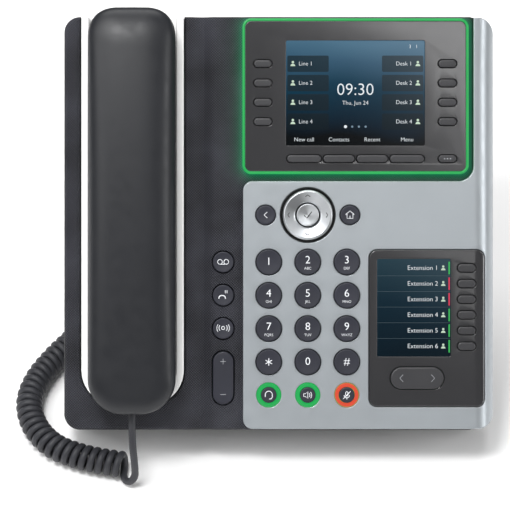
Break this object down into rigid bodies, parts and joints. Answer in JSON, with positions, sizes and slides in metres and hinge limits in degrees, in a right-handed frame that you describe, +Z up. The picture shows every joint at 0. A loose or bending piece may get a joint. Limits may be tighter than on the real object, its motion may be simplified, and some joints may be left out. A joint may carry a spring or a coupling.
{
  "type": "desk ip phone",
  "caption": "Desk IP phone on a tilted rear stand, with a handset in its cradle, two displays, a dial pad, function keys and a curly cord.",
  "frame": {"origin": "on the table, under the middle of the phone's footprint, cord apart", "axes": "+X to the user's right, +Y away from the user, +Z up; the face looks towards -Y and leans back 45 degrees"},
  "size_m": [0.2452, 0.188, 0.1942],
  "materials": {
    "dark_housing": "moulded, fine raised texture",
    "dark_key": "satin",
    "silver_plastic": "satin silver paint",
    "gloss_panel": "gloss",
    "white_plastic": "satin",
    "light_guide": "translucent, lit from behind",
    "screen_glass": "lit display under glass",
    "satin_metal": "satin",
    "black_rubber": "matte",
    "cord_rubber": "satin",
    "circuit_board": "solder mask",
    "clear_plastic": "clear"
  },
  "bodies": {
    "root": {"faceplate": "silver_plastic", "front_housing": "dark_housing", "rear_housing": "dark_housing", "display_panel": "gloss_panel", "status_light_ring": "light_guide", "main_screen": "screen_glass", "side_panel": "gloss_panel", "side_screen": "screen_glass", "lamp_key_rings": "light_guide", "keypad_mat": "black_rubber", "main_board": "circuit_board", "loudspeaker": "satin_metal", "cradle_insert": "white_plastic", "cord_plug_base": "clear_plastic", "port_block": "black_rubber", "stand": "dark_housing", "front_foot": "black_rubber", "rear_foot": "black_rubber", "cord_lead": "cord_rubber", "cord_curl": "cord_rubber", "cord_tail": "cord_rubber"},
    "handset": {"handset_outer_shell": "dark_housing", "handset_inner_shell": "dark_housing", "handset_receiver": "satin_metal", "handset_microphone": "satin_metal", "cord_plug_handset": "clear_plastic"},
    "hook": {"hook_plunger": "dark_key"},
    "dial_key_1": {"dial_key_1": "dark_key"},
    "dial_key_2": {"dial_key_2": "dark_key"},
    "dial_key_3": {"dial_key_3": "dark_key"},
    "dial_key_4": {"dial_key_4": "dark_key"},
    "dial_key_5": {"dial_key_5": "dark_key"},
    "dial_key_6": {"dial_key_6": "dark_key"},
    "dial_key_7": {"dial_key_7": "dark_key"},
    "dial_key_8": {"dial_key_8": "dark_key"},
    "dial_key_9": {"dial_key_9": "dark_key"},
    "dial_key_star": {"dial_key_star": "dark_key"},
    "dial_key_0": {"dial_key_0": "dark_key"},
    "dial_key_hash": {"dial_key_hash": "dark_key"},
    "back_key": {"back_key": "dark_key"},
    "home_key": {"home_key": "dark_key"},
    "headset_key": {"headset_key": "dark_key"},
    "speaker_key": {"speaker_key": "dark_key"},
    "mute_key": {"mute_key": "dark_key"},
    "message_key": {"message_key": "dark_key"},
    "hold_key": {"hold_key": "dark_key"},
    "transfer_key": {"transfer_key": "dark_key"},
    "soft_key_1": {"soft_key_1": "dark_key"},
    "soft_key_2": {"soft_key_2": "dark_key"},
    "soft_key_3": {"soft_key_3": "dark_key"},
    "soft_key_4": {"soft_key_4": "dark_key"},
    "more_key": {"more_key": "dark_key"},
    "line_keys_left": {"line_keys_left": "dark_key"},
    "line_keys_right": {"line_keys_right": "dark_key"},
    "side_line_keys": {"side_line_keys": "dark_key"},
    "select_key": {"select_key": "satin_metal"},
    "nav_gimbal": {"nav_gimbal": "black_rubber"},
    "nav_ring": {"nav_ring": "satin_metal"},
    "page_key": {"page_key": "dark_key"},
    "volume_key": {"volume_key": "dark_key"}
  },
  "joints": [
    {"name": "handset_lift", "type": "slide", "parent": "root", "child": "handset", "axis": [0, -0.7071, 0.7071], "range_m": [0, 0.08]},
    {"name": "hook_rise", "type": "slide", "parent": "root", "child": "hook", "axis": [0, -0.7071, 0.7071], "range_m": [0, 0.003]},
    {"name": "dial_key_1_press", "type": "slide", "parent": "root", "child": "dial_key_1", "axis": [0, -0.7071, 0.7071], "range_m": [-0.001, 0], "stiffness_N_per_m": 300, "springref_m": 0.001},
    {"name": "dial_key_2_press", "type": "slide", "parent": "root", "child": "dial_key_2", "axis": [0, -0.7071, 0.7071], "range_m": [-0.001, 0], "stiffness_N_per_m": 300, "springref_m": 0.001},
    {"name": "dial_key_3_press", "type": "slide", "parent": "root", "child": "dial_key_3", "axis": [0, -0.7071, 0.7071], "range_m": [-0.001, 0], "stiffness_N_per_m": 300, "springref_m": 0.001},
    {"name": "dial_key_4_press", "type": "slide", "parent": "root", "child": "dial_key_4", "axis": [0, -0.7071, 0.7071], "range_m": [-0.001, 0], "stiffness_N_per_m": 300, "springref_m": 0.001},
    {"name": "dial_key_5_press", "type": "slide", "parent": "root", "child": "dial_key_5", "axis": [0, -0.7071, 0.7071], "range_m": [-0.001, 0], "stiffness_N_per_m": 300, "springref_m": 0.001},
    {"name": "dial_key_6_press", "type": "slide", "parent": "root", "child": "dial_key_6", "axis": [0, -0.7071, 0.7071], "range_m": [-0.001, 0], "stiffness_N_per_m": 300, "springref_m": 0.001},
    {"name": "dial_key_7_press", "type": "slide", "parent": "root", "child": "dial_key_7", "axis": [0, -0.7071, 0.7071], "range_m": [-0.001, 0], "stiffness_N_per_m": 300, "springref_m": 0.001},
    {"name": "dial_key_8_press", "type": "slide", "parent": "root", "child": "dial_key_8", "axis": [0, -0.7071, 0.7071], "range_m": [-0.001, 0], "stiffness_N_per_m": 300, "springref_m": 0.001},
    {"name": "dial_key_9_press", "type": "slide", "parent": "root", "child": "dial_key_9", "axis": [0, -0.7071, 0.7071], "range_m": [-0.001, 0], "stiffness_N_per_m": 300, "springref_m": 0.001},
    {"name": "dial_key_star_press", "type": "slide", "parent": "root", "child": "dial_key_star", "axis": [0, -0.7071, 0.7071], "range_m": [-0.001, 0], "stiffness_N_per_m": 300, "springref_m": 0.001},
    {"name": "dial_key_0_press", "type": "slide", "parent": "root", "child": "dial_key_0", "axis": [0, -0.7071, 0.7071], "range_m": [-0.001, 0], "stiffness_N_per_m": 300, "springref_m": 0.001},
    {"name": "dial_key_hash_press", "type": "slide", "parent": "root", "child": "dial_key_hash", "axis": [0, -0.7071, 0.7071], "range_m": [-0.001, 0], "stiffness_N_per_m": 300, "springref_m": 0.001},
    {"name": "back_key_press", "type": "slide", "parent": "root", "child": "back_key", "axis": [0, -0.7071, 0.7071], "range_m": [-0.001, 0], "stiffness_N_per_m": 300, "springref_m": 0.001},
    {"name": "home_key_press", "type": "slide", "parent": "root", "child": "home_key", "axis": [0, -0.7071, 0.7071], "range_m": [-0.001, 0], "stiffness_N_per_m": 300, "springref_m": 0.001},
    {"name": "headset_key_press", "type": "slide", "parent": "root", "child": "headset_key", "axis": [0, -0.7071, 0.7071], "range_m": [-0.001, 0], "stiffness_N_per_m": 300, "springref_m": 0.001},
    {"name": "speaker_key_press", "type": "slide", "parent": "root", "child": "speaker_key", "axis": [0, -0.7071, 0.7071], "range_m": [-0.001, 0], "stiffness_N_per_m": 300, "springref_m": 0.001},
    {"name": "mute_key_press", "type": "slide", "parent": "root", "child": "mute_key", "axis": [0, -0.7071, 0.7071], "range_m": [-0.001, 0], "stiffness_N_per_m": 300, "springref_m": 0.001},
    {"name": "message_key_press", "type": "slide", "parent": "root", "child": "message_key", "axis": [0, -0.7071, 0.7071], "range_m": [-0.001, 0], "stiffness_N_per_m": 300, "springref_m": 0.001},
    {"name": "hold_key_press", "type": "slide", "parent": "root", "child": "hold_key", "axis": [0, -0.7071, 0.7071], "range_m": [-0.001, 0], "stiffness_N_per_m": 300, "springref_m": 0.001},
    {"name": "transfer_key_press", "type": "slide", "parent": "root", "child": "transfer_key", "axis": [0, -0.7071, 0.7071], "range_m": [-0.001, 0], "stiffness_N_per_m": 300, "springref_m": 0.001},
    {"name": "soft_key_1_press", "type": "slide", "parent": "root", "child": "soft_key_1", "axis": [0, -0.7071, 0.7071], "range_m": [-0.0008, 0], "stiffness_N_per_m": 300, "springref_m": 0.001},
    {"name": "soft_key_2_press", "type": "slide", "parent": "root", "child": "soft_key_2", "axis": [0, -0.7071, 0.7071], "range_m": [-0.0008, 0], "stiffness_N_per_m": 300, "springref_m": 0.001},
    {"name": "soft_key_3_press", "type": "slide", "parent": "root", "child": "soft_key_3", "axis": [0, -0.7071, 0.7071], "range_m": [-0.0008, 0], "stiffness_N_per_m": 300, "springref_m": 0.001},
    {"name": "soft_key_4_press", "type": "slide", "parent": "root", "child": "soft_key_4", "axis": [0, -0.7071, 0.7071], "range_m": [-0.0008, 0], "stiffness_N_per_m": 300, "springref_m": 0.001},
    {"name": "more_key_press", "type": "slide", "parent": "root", "child": "more_key", "axis": [0, -0.7071, 0.7071], "range_m": [-0.0008, 0], "stiffness_N_per_m": 300, "springref_m": 0.001},
    {"name": "line_keys_left_press", "type": "slide", "parent": "root", "child": "line_keys_left", "axis": [0, -0.7071, 0.7071], "range_m": [-0.0008, 0], "stiffness_N_per_m": 300, "springref_m": 0.001},
    {"name": "line_keys_right_press", "type": "slide", "parent": "root", "child": "line_keys_right", "axis": [0, -0.7071, 0.7071], "range_m": [-0.0008, 0], "stiffness_N_per_m": 300, "springref_m": 0.001},
    {"name": "side_line_keys_press", "type": "slide", "parent": "root", "child": "side_line_keys", "axis": [0, -0.7071, 0.7071], "range_m": [-0.0008, 0], "stiffness_N_per_m": 300, "springref_m": 0.001},
    {"name": "select_key_press", "type": "slide", "parent": "root", "child": "select_key", "axis": [0, -0.7071, 0.7071], "range_m": [-0.001, 0], "stiffness_N_per_m": 300, "springref_m": 0.001},
    {"name": "nav_tip_sideways", "type": "hinge", "parent": "root", "child": "nav_gimbal", "pos_m": [0.0146, -0.00151, 0.10189], "axis": [0, 0.7071, 0.7071], "range_deg": [-3, 3], "stiffness_Nm_per_rad": 0.02},
    {"name": "nav_tip_updown", "type": "hinge", "parent": "nav_gimbal", "child": "nav_ring", "pos_m": [0.0146, -0.00151, 0.10189], "axis": [1, 0, 0], "range_deg": [-3, 3], "stiffness_Nm_per_rad": 0.02},
    {"name": "page_key_rock", "type": "hinge", "parent": "root", "child": "page_key", "pos_m": [0.0701, -0.06218, 0.04546], "axis": [0, 0.7071, 0.7071], "range_deg": [-2.5, 2.5], "stiffness_Nm_per_rad": 0.02},
    {"name": "volume_key_rock", "type": "hinge", "parent": "root", "child": "volume_key", "pos_m": [-0.0284, -0.06077, 0.04405], "axis": [1, 0, 0], "range_deg": [-2.5, 2.5], "stiffness_Nm_per_rad": 0.02}
  ],
  "couplings": [
    {"joint": "hook_rise", "follows": "handset_lift", "ratio": 0.0375}
  ]
}
